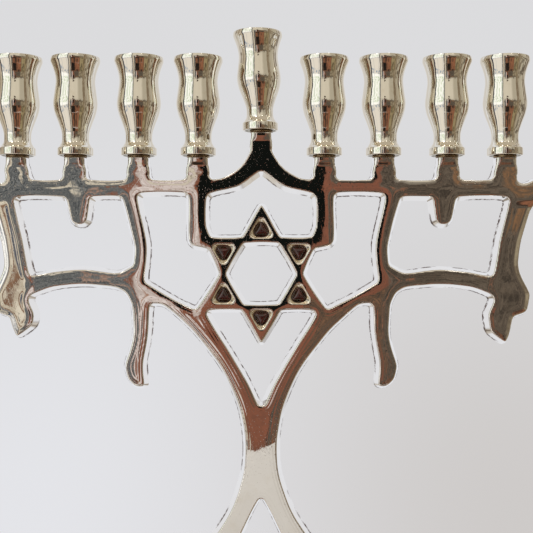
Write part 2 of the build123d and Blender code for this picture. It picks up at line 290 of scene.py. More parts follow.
def distance_map(loops, xs, zs):
    """Signed distance to the outlines on a flat grid, positive in the metal."""
    squared = np.full((len(xs), len(zs)), REACH ** 2)
    crossings = np.zeros((len(xs) + 1, len(zs)), int)
    for loop in loops:
        for (ax, az), (bx, bz) in zip(loop, np.roll(loop, -1, 0)):
            i0, i1 = np.searchsorted(xs, (min(ax, bx) - REACH, max(ax, bx) + REACH))
            j0, j1 = np.searchsorted(zs, (min(az, bz) - REACH, max(az, bz) + REACH))
            px = xs[i0:i1, None] - ax
            pz = zs[None, j0:j1] - az
            ex, ez = bx - ax, bz - az
            t = np.clip((px * ex + pz * ez) / (ex * ex + ez * ez + 1e-12), 0, 1)
            window = squared[i0:i1, j0:j1]
            np.minimum(window, (px - t * ex) ** 2 + (pz - t * ez) ** 2, out=window)
            rows = np.flatnonzero((zs > min(az, bz)) & (zs <= max(az, bz)))
            if len(rows):
                at = ax + (zs[rows] - az) / ez * ex
                np.add.at(crossings, (np.searchsorted(xs, at), rows), 1)
    inside = np.cumsum(crossings, 0)[:-1] % 2 == 1
    return np.where(inside, 1, -1) * np.sqrt(squared)


def blurred(field, sigma):
    """The field after a Gaussian blur of sigma grid cells."""
    half = int(3 * sigma) + 1
    kernel = np.exp(-0.5 * (np.arange(-half, half + 1) / sigma) ** 2)
    kernel /= kernel.sum()
    for _ in range(2):
        padded = np.pad(field, ((half, half), (0, 0)), mode="edge")
        field = sum(w * padded[i:i + len(field)] for i, w in enumerate(kernel)).T
    return field


def smooth_noise(xs, zs, size, seed):
    """Smooth random hills about size millimetres apart, between about -1 and 1."""
    random = np.random.RandomState(seed)
    coarse_x = np.arange(xs[0] - size, xs[-1] + 2 * size, size)
    coarse_z = np.arange(zs[0] - size, zs[-1] + 2 * size, size)
    knots = random.uniform(-1, 1, (len(coarse_x), len(coarse_z)))
    rows = np.array([np.interp(zs, coarse_z, row) for row in knots])
    full = np.array([np.interp(xs, coarse_x, column) for column in rows.T]).T
    return blurred(full, size / FINE / 3) * 1.6


def sampled(field, xs, zs, x, z):
    """Bilinear value of a flat map at the given places."""
    fx = np.clip((x - xs[0]) / FINE, 0, len(xs) - 1.001)
    fz = np.clip((z - zs[0]) / FINE, 0, len(zs) - 1.001)
    i, j = fx.astype(int), fz.astype(int)
    u, v = fx - i, fz - j
    return (
        field[i, j] * (1 - u) * (1 - v) + field[i + 1, j] * u * (1 - v)
        + field[i, j + 1] * (1 - u) * v + field[i + 1, j + 1] * u * v
    )


def smooth_step(value, low, high):
    """0 at low, 1 at high, with a smooth change between them."""
    t = np.clip((value - low) / (high - low), 0, 1)
    return t * t * (3 - 2 * t)


def round_min(a, b, radius):
    """Both at once: the lesser of two inside distances, with a round edge where they meet."""
    u = np.maximum(radius - a, 0)
    v = np.maximum(radius - b, 0)
    return np.minimum(np.maximum(np.minimum(a, b), radius), radius - np.hypot(u, v))


def blend_max(a, b, width):
    """Either one: the greater of two inside distances, with a fillet where they meet."""
    h = np.maximum(width - np.abs(a - b), 0) / width
    return np.maximum(a, b) + h * h * width / 4


class Casting:
    """The implicit shape of the openwork casting, from the CAD frame, stones and washers."""

    def __init__(self):
        points, corners = triangles("frame")
        back, self.back_y = flat_faces(points, corners, 1)
        front, self.front_y = flat_faces(points, corners, -1)
        self.thickness = self.back_y - self.front_y
        self.draft = points[back][..., 0].max() - points[front][..., 0].max()
        self.low, self.high = box_mm("frame")
        self.necks = []
        for name in NAMES:
            low, high = box_mm(washer_node(name))
            self.necks.append(((low[0] + high[0]) / 2, low[2], self.high[1]))
        loops = boundary_loops(points, back)
        longest = max(range(len(loops)), key=lambda i: len(loops[i]))
        loops[longest] = without_notches(loops[longest], self.necks)
        loops = [even_loop(loop) for loop in loops]
        self.xs = np.arange(self.low[0] - MARGIN, self.high[0] + MARGIN, FINE)
        self.zs = np.arange(self.low[2] - MARGIN, self.high[2] + MARGIN, FINE)
        distance = distance_map(loops, self.xs, self.zs)
        for x, top, radius in self.necks:
            across = radius - np.abs(self.xs[:, None] - x)
            upward = np.minimum(top + MARGIN - self.zs, self.zs - (top - NECK_LENGTH))[None]
            distance = blend_max(distance, np.minimum(across, upward), NECK_FILLET)
        wave = self.hills(9.0, 3) + 0.4 * self.hills(4.0, 4)
        self.wall_map = blurred(distance, 0.2 / FINE) + EDGE_WAVE * wave
        self.neck_map = self.neck_shares()
        limit = np.interp(np.abs(self.xs), *TOP_LINE)[:, None]
        upper = smooth_step(self.zs[None], limit - 1.0, limit + 1.0)
        self.draft_map = self.draft * np.minimum(1 - (1 - NECK_DRAFT) * self.neck_map,
                                                 1 - (1 - TOP_DRAFT) * upper)
        edge = np.maximum(blurred(distance, 0.5 / FINE) - self.draft_map, -0.3)
        self.pockets = self.stone_pockets()
        flat = self.flat_share()
        pillow = (flat * FLAT_PILLOW * np.exp(-edge / FLAT_PILLOW_WIDTH)
                  + (1 - flat) * PILLOW * np.exp(-edge / PILLOW_WIDTH))
        wave = self.hills(11.0, 5) + 0.25 * self.hills(5.0, 6)
        wave *= flat * FLAT_WAVE + (1 - flat) * FACE_WAVE
        self.relief_map = FACE_SINK + pillow + wave + (1 - flat) * self.hand_finish(edge)
        self.foot = box_mm("base")[1][2]

    def hills(self, size, seed):
        return smooth_noise(self.xs, self.zs, size, seed)

    def neck_shares(self):
        """1 on the upper part of every neck, where the side walls stand upright, else 0."""
        share = np.zeros((len(self.xs), len(self.zs)))
        for x, top, radius in self.necks:
            near = smooth_step(radius * 2.2 - np.abs(self.xs - x), 0.0, 2.0)[:, None]
            high = smooth_step(self.zs, top - NECK_UPRIGHT[0], top - NECK_UPRIGHT[1])[None]
            share = np.maximum(share, near * high)
        return share

    def flat_share(self):
        """1 on the star and the roof, whose faces were ground flat, else 0."""
        middle_x, middle_z = np.mean([place[:2] for place in self.pockets], axis=0)
        x = self.xs[:, None] - middle_x
        z = self.zs[None]
        star = 1 - smooth_step(np.hypot(x, z - middle_z), *STAR_REACH)
        roof = smooth_step(z, *ROOF_FROM) * (1 - smooth_step(np.abs(x), *ROOF_WIDTH))
        return np.maximum(star, roof)

    def hand_finish(self, edge):
        """Ridges along the outer arms, and fine filing lines along the lower arms and legs."""
        drift = self.hills(16.0, 7)
        outer = smooth_step(np.abs(self.xs), *ROLL_FROM)[:, None]
        outer = outer * (1 - smooth_step(self.zs, *ROOF_FROM))[None]
        roll = ROLL * np.cos(2 * math.pi * edge / ROLL_SPACING + 1.2 * drift)
        roll = outer * (roll + LEAN * (np.abs(self.xs)[:, None] - ROLL_FROM[1]))
        lower = 1 - smooth_step(self.zs, *LINES_BELOW[::-1])[None]
        broken = 0.55 + 0.45 * self.hills(10.0, 8)
        lines = LINE * lower * broken * np.cos(2 * math.pi * edge / LINE_SPACING + 2.0 * drift)
        return roll + lines

    def stone_pockets(self):
        """Each pocket as (x, z, unit vector towards the star point, inner radius at its floor)."""
        centres = {}
        for name in STONES:
            low, high = box_mm(f"star_stone_{name}")
            centres[name] = np.array(((low[0] + high[0]) / 2, (low[2] + high[2]) / 2))
        middle = sum(centres.values()) / len(centres)
        low, high = box_mm("star_stone_top")
        inner = (high[0] - low[0]) / 2 / math.sqrt(3) * 0.98
        spread = np.mean([np.linalg.norm(c - middle) for c in centres.values()])
        pockets = []
        for name in STONES:
            angle = round(math.degrees(math.atan2(*(centres[name] - middle)[::-1])) / 30) * 30
            along = np.array((math.cos(math.radians(angle)), math.sin(math.radians(angle))))
            pockets.append((*(middle + along * (spread - 0.1)), along, inner))
        return pockets

    def pocket(self, x, y, z, place):
        """Inside distance of one pocket: a rounded triangle with sloping sides."""
        px, pz, along, inner = place
        u = (x - px) * along[0] + (z - pz) * along[1]
        v = -(x - px) * along[1] + (z - pz) * along[0]
        third = math.sqrt(3) / 2
        sides = round_min(inner + u, inner - (u / 2 + v * third), POCKET_CORNER)
        sides = round_min(sides, inner - (u / 2 - v * third), POCKET_CORNER)
        depth = y - self.front_y
        sides = sides + POCKET_SLOPE * (POCKET_DEPTH - depth)
        return round_min(sides * POCKET_STEEPNESS, POCKET_DEPTH - depth, CUT_ROUND)

    def maps_at(self, x, z):
        """The flat maps' values at some places: wall distance, draft, relief, neck share."""
        maps = (self.wall_map, self.draft_map, self.relief_map, self.neck_map)
        return [sampled(field, self.xs, self.zs, x, z) for field in maps]

    def inside(self, x, y, z, wall_distance, draft, relief, neck_share):
        """Distance inside the metal's surface, positive in the metal."""
        rise = (self.back_y - y) / self.thickness
        slant = self.thickness / np.hypot(self.thickness, draft)
        wall = (wall_distance - draft * rise) * slant
        shoulder = SHOULDER + (NECK_ROUND - SHOULDER) * neck_share
        body = round_min(wall, y - self.front_y - relief, shoulder)
        body = round_min(body, self.back_y - y, BACK_ROUND)
        for neck_x, top, radius in self.necks:
            near = np.abs(x - neck_x) < radius * NECK_NEAR
            section = ((np.abs(x - neck_x) / radius) ** NECK_POWER
                       + (np.abs(y) / NECK_DEPTH) ** NECK_POWER) ** (1 / NECK_POWER)
            share = smooth_step(z, top - NECK_MORPH[0], top - NECK_MORPH[1])
            share = np.where(near, share, 0)
            body = body + share * ((1 - section) * radius - body)
            body = np.where(near, round_min(body, top - z, CUT_ROUND), body)
            hole = np.minimum(STUD_HOLE - np.hypot(x - neck_x, y), z - (top - STUD_SUNK))
            body = np.minimum(body, -hole)
        for place in self.pockets:
            body = round_min(body, -self.pocket(x, y, z, place), POCKET_ROUND)
        return round_min(body, z - self.foot, CUT_ROUND)

    def at(self, points):
        """Inside distance at loose points."""
        x, y, z = points.T
        return self.inside(x, y, z, *self.maps_at(x, z))

    def gradient(self, points):
        """Direction in which the inside distance grows fastest."""
        columns = []
        for axis in range(3):
            shift = np.zeros(3)
            shift[axis] = GRADIENT_STEP
            difference = self.at(points + shift) - self.at(points - shift)
            columns.append(difference / (2 * GRADIENT_STEP))
        return np.stack(columns, axis=1)

    def grid(self):
        """The inside distance on a box of points, slice by slice along x."""
        xs = np.arange(self.low[0] - 1, self.high[0] + 1, GRID)
        ys = np.arange(self.low[1] - 1, self.high[1] + 1, GRID)
        zs = np.arange(self.low[2] - 1, self.high[2] + 1, GRID)
        y, z = np.meshgrid(ys, zs, indexing="ij")
        values = np.empty((len(xs), len(ys), len(zs)), np.float32)
        for i, x in enumerate(xs):
            line_maps = [line[None] for line in self.maps_at(np.full(len(zs), x), zs)]
            values[i] = self.inside(np.full_like(y, x), y, z, *line_maps)
        return values, (xs, ys, zs)


def surface_net(values, axes):
    """Points and quads of the zero surface: one point for each grid cell that it crosses."""
    cells = np.array(values.shape) - 1
    strides = np.array((cells[1] * cells[2], cells[2], 1))
    total = cells.prod()
    sums = np.zeros((3, total))
    counts = np.zeros(total)
    quads = []
    for axis in range(3):
        u, v = (axis + 1) % 3, (axis + 2) % 3
        start = np.moveaxis(values, axis, 0)[:-1]
        end = np.moveaxis(values, axis, 0)[1:]
        crossing = np.argwhere((start > 0) != (end > 0))
        a = start[tuple(crossing.T)]
        b = end[tuple(crossing.T)]
        place = np.empty((len(crossing), 3))
        order = [axis] + [k for k in range(3) if k != axis]
        place[:, order] = crossing
        corner = place.astype(int)
        place[:, axis] += a / (a - b)
        around = []
        inner = (corner[:, u] > 0) & (corner[:, v] > 0)
        inner &= (corner[:, u] < cells[u]) & (corner[:, v] < cells[v])
        for du, dv in ((0, 0), (-1, 0), (-1, -1), (0, -1)):
            cell = corner[inner].copy()
            cell[:, u] += du
            cell[:, v] += dv
            index = cell @ strides
            around.append(index)
            counts += np.bincount(index, minlength=total)
            for k in range(3):
                sums[k] += np.bincount(index, place[inner, k], minlength=total)
        quad = np.stack(around, axis=1)
        out = (a > 0)[inner]
        quads.append(np.where(out[:, None], quad, quad[:, ::-1]))
    used = np.flatnonzero(counts)
    number = np.full(total, -1)
    number[used] = np.arange(len(used))
    grid_places = (sums[:, used] / counts[used]).T
    origin = np.array([axis[0] for axis in axes])
    spacing = np.array([axis[1] - axis[0] for axis in axes])
    return origin + grid_places * spacing, number[np.concatenate(quads)]


def casting_piece(shape, material):
    points, quads = surface_net(*shape.grid())
    for _ in range(3):
        gradient = shape.gradient(points)
        steepness = np.maximum((gradient ** 2).sum(1), 0.2)
        move = -(shape.at(points) / steepness)[:, None] * gradient
        points = points + np.clip(move, -GRID / 2, GRID / 2)
    normals = -shape.gradient(points)
    normals /= np.maximum(np.linalg.norm(normals, axis=1, keepdims=True), 1e-6)
    piece = new_piece("openwork_casting", points, quads, "frame", "frame",
                      material, normals)
    x, y, z = points.T
    depth = np.max([shape.pocket(x, y, z, place) for place in shape.pockets], axis=0)
    share = np.clip(1 + depth / 0.35, 0, 1) * (y < shape.front_y + POCKET_DEPTH + 0.2)
    store_values(piece, "pocket", share)


# ---- materials ------------------------------------------------------------------------------

class Nodes:
    """A short way to write a node tree: sockets go in, sockets come out."""

    def __init__(self, tree):
        self.tree = tree
        tree.nodes.clear()

    def add(self, kind, inputs=None, **settings):
        node = self.tree.nodes.new(kind)
        for key, value in settings.items():
            setattr(node, key, value)
        for key, value in (inputs or {}).items():
            socket = node.inputs[key]
            if isinstance(value, bpy.types.NodeSocket):
                self.tree.links.new(value, socket)
            else:
                socket.default_value = value
        return node

    def math(self, operation, a, b=0.0):
        return self.add("ShaderNodeMath", {0: a, 1: b}, operation=operation).outputs[0]

    def times(self, a, b):
        return self.math("MULTIPLY", a, b)

    def plus(self, a, b):
        return self.math("ADD", a, b)

    def minus(self, a, b):
        return self.math("SUBTRACT", a, b)

    def mix_shader(self, factor, a, b):
        return self.add("ShaderNodeMixShader", {0: factor, 1: a, 2: b}).outputs[0]

    def noise(self, vector, scale, detail=3.0, roughness=0.5):
        inputs = {"Vector": vector, "Scale": scale, "Detail": detail, "Roughness": roughness}
        return self.add("ShaderNodeTexNoise", inputs).outputs["Fac"]

    def stretched(self, vector, scale, rotation=(0, 0, 0)):
        inputs = {"Vector": vector, "Scale": scale, "Rotation": rotation}
        return self.add("ShaderNodeMapping", inputs).outputs["Vector"]

    def between(self, value, low, high, to_low=0.0, to_high=1.0):
        """Maps low..high smoothly to to_low..to_high."""
        inputs = {"Value": value, "From Min": low, "From Max": high,
                  "To Min": to_low, "To Max": to_high}
        node = self.add("ShaderNodeMapRange", inputs, interpolation_type="SMOOTHSTEP")
        return node.outputs[0]

    def band(self, value, low, high, soft):
        """1 between low and high, falling to 0 over soft on either side."""
        rise = self.between(value, low - soft, low + soft)
        fall = self.between(value, high - soft, high + soft, 1.0, 0.0)
        return self.times(rise, fall)

    def mix(self, factor, a, b):
        node = self.add("ShaderNodeMix", data_type="RGBA")
        for key, value in ((0, factor), (6, a), (7, b)):
            if isinstance(value, bpy.types.NodeSocket):
                self.tree.links.new(value, node.inputs[key])
            else:
                node.inputs[key].default_value = value if key == 0 else (*value, 1.0)
        return node.outputs[2]

    def bump(self, height, strength, distance, normal=None):
        inputs = {"Height": height, "Strength": strength, "Distance": distance}
        if normal is not None:
            inputs["Normal"] = normal
        return self.add("ShaderNodeBump", inputs).outputs["Normal"]


def new_material(name):
    material = bpy.data.materials.new(name)
    material.use_nodes = True
    nodes = Nodes(material.node_tree)
    place = nodes.add("ShaderNodeTexCoord").outputs["Object"]
    return material, nodes, place


def finish_surface(nodes, inputs):
    surface = nodes.add("ShaderNodeBsdfPrincipled", inputs)
    nodes.add("ShaderNodeOutputMaterial", {"Surface": surface.outputs[0]})


def finish_metal(nodes, colour, roughness, normal):
    finish_surface(nodes, {"Base Color": colour, "Metallic": 1.0, "Roughness": roughness,
                           "Normal": normal})


def scratches(nodes, place, angle, scale):
    """Fine straight polishing lines in one direction, mostly faint."""
    turned = nodes.stretched(place, (1.0, 1.0, 1.0), (0.0, math.radians(angle), 0.0))
    drawn = nodes.stretched(turned, (scale, scale, scale * 0.02))
    return nodes.between(nodes.noise(drawn, 1.0, 2.0, 0.6), 0.60, 0.74)


def silver_plate():
    """Mirror-polished silver plate over a casting: faint haze, specks, pits and hand scratches."""
    material, nodes, place = new_material("silver_plate")
    cloud = nodes.noise(place, 38.0, 3.0)
    patch = nodes.between(nodes.noise(place, 120.0, 4.0, 0.6), 0.52, 0.74)
    speck = nodes.between(nodes.noise(place, 1500.0, 2.0), 0.64, 0.78)
    colour = nodes.mix(cloud, (0.90, 0.88, 0.85), (0.84, 0.80, 0.75))
    colour = nodes.mix(nodes.times(patch, 0.25), colour, (0.72, 0.64, 0.53))
    colour = nodes.mix(nodes.times(speck, 0.45), colour, (0.45, 0.40, 0.34))
    # painted reflection: a warm gold tint in the stone pockets, mixed with dirt
    pocket = nodes.add("ShaderNodeAttribute", attribute_name="pocket").outputs["Fac"]
    dirt = nodes.between(nodes.noise(place, 700.0, 4.0, 0.65), 0.44, 0.62)
    warm_reflection_and_dirt = nodes.mix(dirt, (0.95, 0.90, 0.78), (0.58, 0.46, 0.30))
    colour = nodes.mix(nodes.times(pocket, 0.85), colour, warm_reflection_and_dirt)
    # dark polish left in the rough edge where the side walls meet the back
    where = nodes.add("ShaderNodeSeparateXYZ", {"Vector": place}).outputs["Y"]
    facing = nodes.add("ShaderNodeNewGeometry").outputs["Normal"]
    facing = nodes.add("ShaderNodeSeparateXYZ", {"Vector": facing}).outputs["Y"]
    grime = nodes.band(where, 0.0014, 0.0034, 0.00025)
    grime = nodes.times(grime, nodes.between(facing, 0.55, 0.8, 1.0, 0.0))
    stretch = nodes.between(nodes.noise(place, 60.0, 2.0), 0.42, 0.50)
    broken = nodes.between(nodes.noise(place, 460.0, 5.0, 0.75), 0.40, 0.54)
    grime = nodes.times(grime, nodes.times(broken, stretch))
    colour = nodes.mix(nodes.times(grime, 0.95), colour, (0.11, 0.06, 0.045))
    lines = nodes.plus(scratches(nodes, place, 14, 900), scratches(nodes, place, -37, 700))
    haze = nodes.between(nodes.noise(place, 70.0, 5.0, 0.65), 0.45, 0.8, 0.012, 0.05)
    roughness = nodes.plus(haze, nodes.times(lines, 0.04))
    roughness = nodes.plus(roughness, nodes.times(grime, 0.4))
    roughness = nodes.plus(roughness, nodes.times(pocket, 0.12))
    ripple = nodes.noise(place, 260.0, 2.0)
    pits = nodes.times(speck, -1.0)
    normal = nodes.bump(ripple, 0.10, 0.00010)
    normal = nodes.bump(pits, 0.25, 0.00003, normal)
    normal = nodes.bump(lines, 0.10, 0.00001, normal)
    finish_metal(nodes, colour, roughness, normal)
    return material


def cup_silver():
    """Lathe-turned silver plate with a champagne tint, dull and darkened by painted shade in a ring
    underneath.
    """
    material, nodes, place = new_material("cup_silver")
    cloud = nodes.noise(place, 60.0, 3.0)
    colour = nodes.mix(cloud, (0.92, 0.895, 0.83), (0.86, 0.825, 0.745))
    stain = nodes.between(nodes.noise(place, 210.0, 5.0, 0.65), 0.56, 0.76)
    colour = nodes.mix(nodes.times(stain, 0.3), colour, (0.62, 0.52, 0.36))
    # painted reflection: the sides that turn away from the viewer are warmer and darker, so that
    # they stand out from pale paper
    turned_away = nodes.add("ShaderNodeLayerWeight", {"Blend": 0.5}).outputs["Facing"]
    colour = nodes.mix(nodes.between(turned_away, 0.46, 0.60), colour, (0.70, 0.62, 0.49))
    rings = nodes.noise(nodes.stretched(place, (30.0, 30.0, 2600.0)), 1.0, 2.0)
    haze = nodes.between(nodes.noise(place, 120.0, 4.0, 0.6), 0.4, 0.8, 0.015, 0.05)
    under = nodes.add("ShaderNodeAttribute", attribute_name="painted_shade_ring").outputs["Fac"]
    # painted shade in the ring under the flange
    colour = nodes.mix(under, colour, (0.20, 0.16, 0.08))
    roughness = nodes.plus(haze, nodes.times(under, 0.35))
    normal = nodes.bump(nodes.noise(place, 150.0, 2.0), 0.22, 0.00030)
    normal = nodes.bump(nodes.noise(place, 420.0, 2.0), 0.20, 0.00008, normal)
    normal = nodes.bump(rings, 0.10, 0.000012, normal)
    finish_metal(nodes, colour, roughness, normal)
    return material


def washer_brass():
    """Brass in the gap under each cup, darkened by painted shade and mottled with tarnish."""
    material, nodes, place = new_material("washer_brass")
    tarnish_and_shade = nodes.noise(place, 700.0, 4.0, 0.6)
    # both tones are dark as painted shade of the gap; the mottling between them is tarnish
    colour = nodes.mix(nodes.between(tarnish_and_shade, 0.35, 0.7), (0.42, 0.31, 0.19), (0.17, 0.12, 0.07))
    roughness = nodes.between(tarnish_and_shade, 0.3, 0.7, 0.22, 0.5)
    normal = nodes.bump(nodes.noise(place, 2500.0, 3.0), 0.3, 0.00003)
    finish_metal(nodes, colour, roughness, normal)
    return material


def zinc_steel(name, tint):
    """Zinc-plated steel: bluish grey with cloudy dull patches."""
    material, nodes, place = new_material(name)
    cloud = nodes.between(nodes.noise(place, 500.0, 4.0, 0.6), 0.35, 0.7)
    darker = tuple(0.6 * c for c in tint)
    colour = nodes.mix(cloud, tint, darker)
    roughness = nodes.between(cloud, 0.0, 1.0, 0.2, 0.42)
    normal = nodes.bump(nodes.noise(place, 1800.0, 3.0), 0.3, 0.00003)
    finish_metal(nodes, colour, roughness, normal)
    return material


def garnet():
    """Polished dark red stone with cloudy depth and a few paler inclusions."""
    material, nodes, place = new_material("garnet")
    depth = nodes.between(nodes.noise(place, 420.0, 4.0, 0.6), 0.3, 0.75)
    colour = nodes.mix(depth, (0.006, 0.001, 0.001), (0.038, 0.004, 0.003))
    fleck = nodes.between(nodes.noise(place, 2600.0, 2.0), 0.68, 0.8)
    colour = nodes.mix(nodes.times(fleck, 0.4), colour, (0.10, 0.02, 0.012))
    normal = nodes.bump(nodes.noise(place, 900.0, 2.0), 0.12, 0.00003)
    finish_surface(nodes, {"Base Color": colour, "Roughness": 0.05, "IOR": 1.76,
                           "Normal": normal})
    return material


def felt():
    """Dark green felt: matted fibres, a pale fuzz and small hollows."""
    material, nodes, place = new_material("felt")
    fibre = nodes.noise(nodes.stretched(place, (3000.0, 900.0, 3000.0), (0, 0, 0.5)), 1.0, 4.0, 0.7)
    matting = nodes.noise(place, 160.0, 3.0)
    colour = nodes.mix(fibre, (0.010, 0.035, 0.022), (0.035, 0.095, 0.060))
    colour = nodes.mix(nodes.times(matting, 0.4), colour, (0.06, 0.10, 0.07))
    normal = nodes.bump(fibre, 0.8, 0.0002)
    finish_surface(nodes, {"Base Color": colour, "Roughness": 0.95, "Sheen Weight": 0.6,
                           "Sheen Roughness": 0.4, "Normal": normal})
    return material


# ---- turned and cut pieces --------------------------------------------------------------------

CUP_SEGMENTS = 112
WASHER_SEGMENTS = 64
FLANGE_RADIUS = 7.65
FLANGE_HEIGHT = 3.2
CUP_STUD_DEPTH = 7.0        # blind hole in the underside
CANDLE_BORE = 5.3
BORE_DEPTH = 24.0
MOUTH_RADIUS = 9.3
MOUTH_DEPTH = 4.0
PAINTED_SHADE_RING = (5.9, 6.4)      # the underside is dull and has painted shade between these radii
SHAMASH_LEAN = math.radians(1.7)
SHAMASH_SHIFT = -0.35
# the turned outside above the flange, as (radius, height above the seat)
CUP_SIDE = (
    (6.9, 3.9), (5.95, 5.6), (5.72, 7.6), (5.95, 10.2), (7.2, 13.9), (8.75, 18.0),
    (9.45, 22.2), (8.95, 26.9), (8.42, 31.4), (8.75, 34.6), (9.55, 37.4), (10.5, 39.9),
)


def cup_profile(height):
    """(radius, height) from the middle of the bore's floor, over the lip, down to the stud hole."""
    bore_floor = height - BORE_DEPTH
    inside = rounded_path([
        (0.0, bore_floor, 0), (CANDLE_BORE, bore_floor, 0.8),
        (CANDLE_BORE, height - MOUTH_DEPTH, 1.2), (MOUTH_RADIUS, height - 0.35, 0.5),
        (MOUTH_RADIUS + 0.5, height, 0.2), (10.42, height, 0.3), (10.6, height - 1.1, 0.5),
        (10.5, height - 2.0, 0),
    ])
    outside = smooth_curve(CUP_SIDE, 7)[::-1]
    foot = rounded_path([
        (6.9, 3.9, 0), (7.3, FLANGE_HEIGHT + 0.25, 0.3),
        (FLANGE_RADIUS, FLANGE_HEIGHT - 0.1, 0.45), (FLANGE_RADIUS, 0.25, 0.3),
        (FLANGE_RADIUS - 0.3, 0.0, 0.2), (PAINTED_SHADE_RING[1], 0.0, 0), (PAINTED_SHADE_RING[0], 0.0, 0),
        (STUD_HOLE, 0.0, 0.1), (STUD_HOLE, CUP_STUD_DEPTH, 0.1), (0.0, CUP_STUD_DEPTH + 0.9, 0),
    ], 4)
    return inside + outside[1:] + foot[1:]


def candle_cup(name, material):
    node = cup_node(name)
    low, high = box_mm(node)
    profile = cup_profile(high[2] - low[2])
    points, faces = lathe(profile, CUP_SEGMENTS)
    radius = np.hypot(points[:, 0], points[:, 1])
    # the ring under the flange that gets painted shade
    ring = (points[:, 2] < 0.01) & (radius > PAINTED_SHADE_RING[0] - 0.1) & (radius < PAINTED_SHADE_RING[1] + 0.1)
    if name == "shamash":
        points[:, 0] += SHAMASH_SHIFT - points[:, 2] * math.tan(SHAMASH_LEAN)
    points = stood_on(points, low, high)
    piece = new_piece(node + "_turned", points, faces, node, node, material)
    store_values(piece, "painted_shade_ring", ring)


def cup_washer(name, material):
    node = washer_node(name)
    low, high = box_mm(node)
    radius = (high[0] - low[0]) / 2
    thick = high[2] - low[2]
    profile = rounded_path([
        (STUD_HOLE, thick * 0.5, 0), (STUD_HOLE, thick, 0.15), (radius, thick, 0.25),
        (radius, 0.0, 0.25), (STUD_HOLE, 0.0, 0.15), (STUD_HOLE, thick * 0.5, 0),
    ], 4)[:-1]
    points, faces = lathe(profile, WASHER_SEGMENTS)
    last = (len(profile) - 1) * WASHER_SEGMENTS
    for i in range(WASHER_SEGMENTS):
        after = (i + 1) % WASHER_SEGMENTS
        faces.append((last + i, last + after, after, i))
    points = stood_on(points, low, high)
    new_piece(node + "_disc", points, faces, node, node, material)


THREAD_PITCH = 0.7
THREAD_DEPTH = 0.38
THREAD_SEGMENTS = 28


def stud_mesh(bottom, top, radius):
    """A threaded rod: each ring's radius follows the thread's helix, with pointed ends."""
    rows = int((top - bottom) / THREAD_PITCH * 8)
    heights = np.linspace(bottom, top, rows)
    angles = circle_angles(THREAD_SEGMENTS)
    turn = heights[:, None] / THREAD_PITCH - angles[None] / (2 * math.pi)
    crest = np.clip(1.35 - 3.0 * np.abs(turn % 1 - 0.5), 0, 1)
    ends = np.minimum(heights - bottom, top - heights)[:, None]
    limit = radius - 0.5 + np.minimum(ends, 0.5)
    ring = np.minimum(radius - THREAD_DEPTH * (1 - crest), limit)
    points = np.stack([
        ring * np.cos(angles), ring * np.sin(angles),
        np.repeat(heights[:, None], THREAD_SEGMENTS, 1),
    ], axis=-1).reshape(-1, 3)
    faces = grid_faces(rows, THREAD_SEGMENTS)
    faces.append(tuple(range(THREAD_SEGMENTS))[::-1])
    faces.append(tuple(range((rows - 1) * THREAD_SEGMENTS, rows * THREAD_SEGMENTS)))
    return points, faces


def cup_studs(material):
    low, high = box_mm("cup_studs")
    radius = (high[1] - low[1]) / 2
    proud = high[2] - box_mm(washer_node("shamash"))[0][2]
    all_points, all_faces, count = [], [], 0
    for name in NAMES:
        washer_low, washer_high = box_mm(washer_node(name))
        neck_top = washer_low[2]
        points, faces = stud_mesh(neck_top - STUD_SUNK, neck_top + proud, radius)
        middle = (washer_low + washer_high) / 2
        all_points.append(points + (middle[0], middle[1], 0))
        all_faces += [tuple(i + count for i in face) for face in faces]
        count += len(points)
    new_piece("threaded_studs", np.concatenate(all_points), all_faces, "cup_studs", "frame",
              material)


STONE_RINGS = 14
STONE_SEGMENTS = 60
STONE_SEAT_CORNER = 13.0    # a large value makes a sharp triangle, 2 a circle
STONE_TOP_CORNER = 2.1
STONE_SEAT = 0.7            # height of a stone's upright edge
STONE_FLOOR_GAP = 0.05      # under the middle of a stone


def stone(name, shape, material):
    """A domed triangular stone that fills the floor of its pocket."""
    node = f"star_stone_{name}"
    low, high = box_mm(node)
    px, pz, along, inner = shape.pockets[STONES.index(name)]
    points = []
    for ring in range(STONE_RINGS + 1):
        t = ring / STONE_RINGS
        if ring == 0:
            scale = 1.0
            y = high[1] - STONE_FLOOR_GAP
        else:
            climb = (t - 1 / STONE_RINGS) * math.pi / 2 * STONE_RINGS / (STONE_RINGS - 1)
            scale = math.cos(climb)
            dome = high[1] - low[1] - STONE_SEAT - STONE_FLOOR_GAP
            y = high[1] - STONE_SEAT - math.sin(climb) * dome
        corner = STONE_TOP_CORNER + (STONE_SEAT_CORNER - STONE_TOP_CORNER) * (1 - t) ** 1.5
        for angle in circle_angles(STONE_SEGMENTS):
            sides = [math.cos(angle - math.radians(side)) for side in (60, 180, 300)]
            reach = inner / sum(max(s, 0) ** corner for s in sides) ** (1 / corner)
            u = reach * scale * math.cos(angle)
            v = reach * scale * math.sin(angle)
            points.append((px + along[0] * u - along[1] * v, y, pz + along[1] * u + along[0] * v))
    faces = grid_faces(STONE_RINGS + 1, STONE_SEGMENTS, flip=True)
    faces.append(tuple(range(STONE_SEGMENTS)))
    new_piece(node + "_cabochon", points, faces, node, "frame", material)


OVAL_SEGMENTS = 160
HOLE_SEGMENTS = 40
COUNTERBORE_RADIUS = 4.9
SCREW_CLEARANCE = 2.25


def oval_ring(half_length, half_width, inset, z):
    """Points round an ellipse moved inwards by inset along its normals."""
    angles = circle_angles(OVAL_SEGMENTS)
    normal = np.stack([np.cos(angles) / half_length, np.sin(angles) / half_width], 1)
    normal /= np.linalg.norm(normal, axis=1, keepdims=True)
    ring = np.stack([half_length * np.cos(angles), half_width * np.sin(angles)], 1)
    ring = ring - normal * inset
    return np.column_stack([ring, np.full(len(ring), z)])


